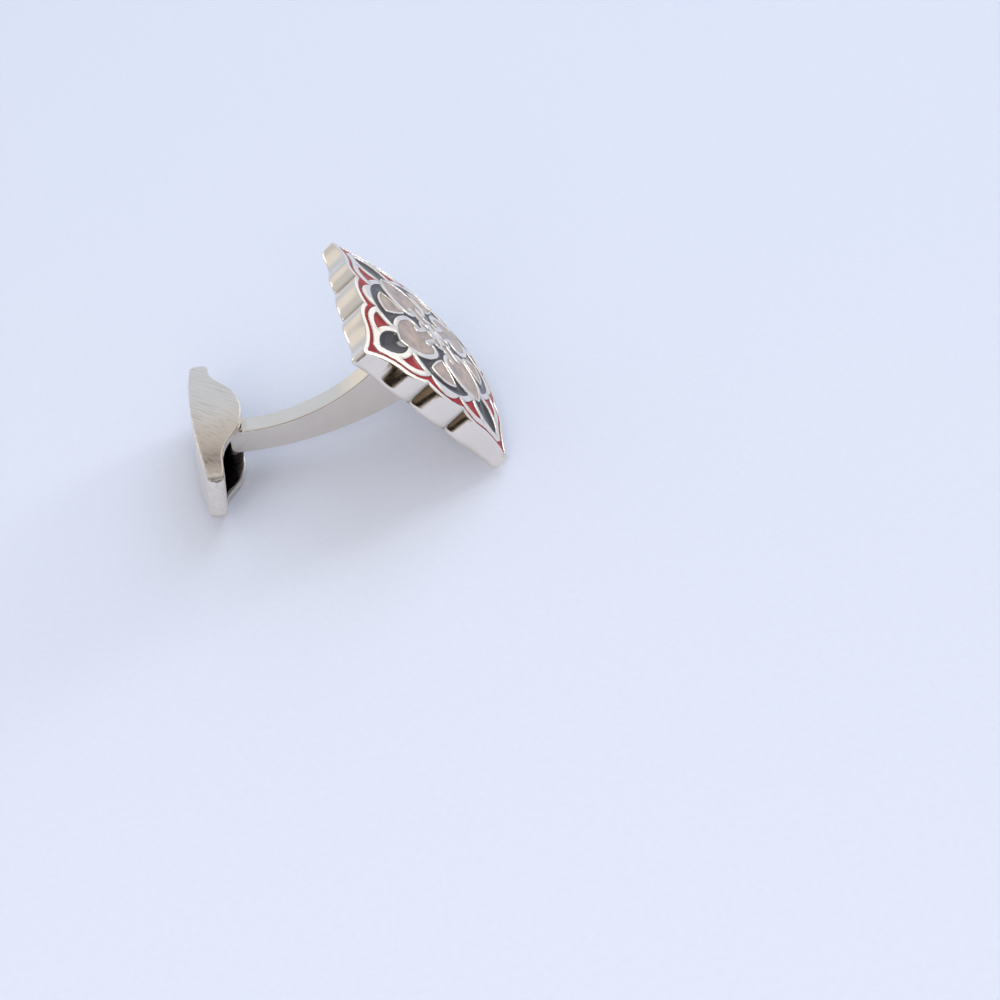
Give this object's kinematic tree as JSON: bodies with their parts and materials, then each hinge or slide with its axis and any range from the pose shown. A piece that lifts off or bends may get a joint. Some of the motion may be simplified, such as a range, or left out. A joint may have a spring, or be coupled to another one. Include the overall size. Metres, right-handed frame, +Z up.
{
  "type": "cufflink",
  "caption": "Cufflink with a domed, fluted square head of coloured enamel cells, a curved tapering post and a sprung swinging toggle, lying on its side.",
  "frame": {"origin": "middle of the bounding box at the level of the table on which the cufflink lies", "axes": "+Z up from the table, +X from the toggle towards the head, +Y along the toggle's length; the X-Z plane halves the cufflink"},
  "size_m": [0.0264, 0.0172, 0.0154],
  "materials": {
    "polished_metal": "polished rhodium plate over brass",
    "brushed_metal": "finely brushed cheeks, polished edges, rhodium plate",
    "spring_steel": "bright hardened strip",
    "red_enamel": "glossy fired enamel",
    "dark_enamel": "glossy fired enamel",
    "beige_enamel": "satin pearl enamel"
  },
  "bodies": {
    "head_body": {"head": "polished_metal", "centre_bead": "polished_metal", "border_enamel": "red_enamel", "bud_enamel_1": "dark_enamel", "bud_enamel_2": "dark_enamel", "bud_enamel_3": "dark_enamel", "bud_enamel_4": "dark_enamel", "spandrel_enamel_1": "red_enamel", "spandrel_enamel_2": "red_enamel", "spandrel_enamel_3": "red_enamel", "spandrel_enamel_4": "red_enamel", "spandrel_enamel_5": "red_enamel", "spandrel_enamel_6": "red_enamel", "spandrel_enamel_7": "red_enamel", "spandrel_enamel_8": "red_enamel", "crescent_enamel_1": "dark_enamel", "crescent_enamel_2": "dark_enamel", "crescent_enamel_3": "dark_enamel", "crescent_enamel_4": "dark_enamel", "side_petal_enamel_1": "beige_enamel", "side_petal_enamel_2": "beige_enamel", "side_petal_enamel_3": "beige_enamel", "side_petal_enamel_4": "beige_enamel", "tip_petal_enamel_1": "beige_enamel", "tip_petal_enamel_2": "beige_enamel", "tip_petal_enamel_3": "beige_enamel", "tip_petal_enamel_4": "beige_enamel", "seed_enamel_1": "dark_enamel", "seed_enamel_2": "dark_enamel", "seed_enamel_3": "dark_enamel", "seed_enamel_4": "dark_enamel", "rosette_enamel_1": "beige_enamel", "rosette_enamel_2": "beige_enamel", "rosette_enamel_3": "beige_enamel", "rosette_enamel_4": "beige_enamel", "post": "polished_metal"},
    "toggle_body": {"toggle": "brushed_metal", "hinge_pin": "brushed_metal", "leaf_spring": "spring_steel"}
  },
  "joints": [
    {"name": "toggle_swing", "type": "hinge", "parent": "head_body", "child": "toggle_body", "pos_m": [-0.00938, 0, 0.00331], "axis": [0.1328, 0, 0.9911], "range_deg": [-90, 90]}
  ]
}
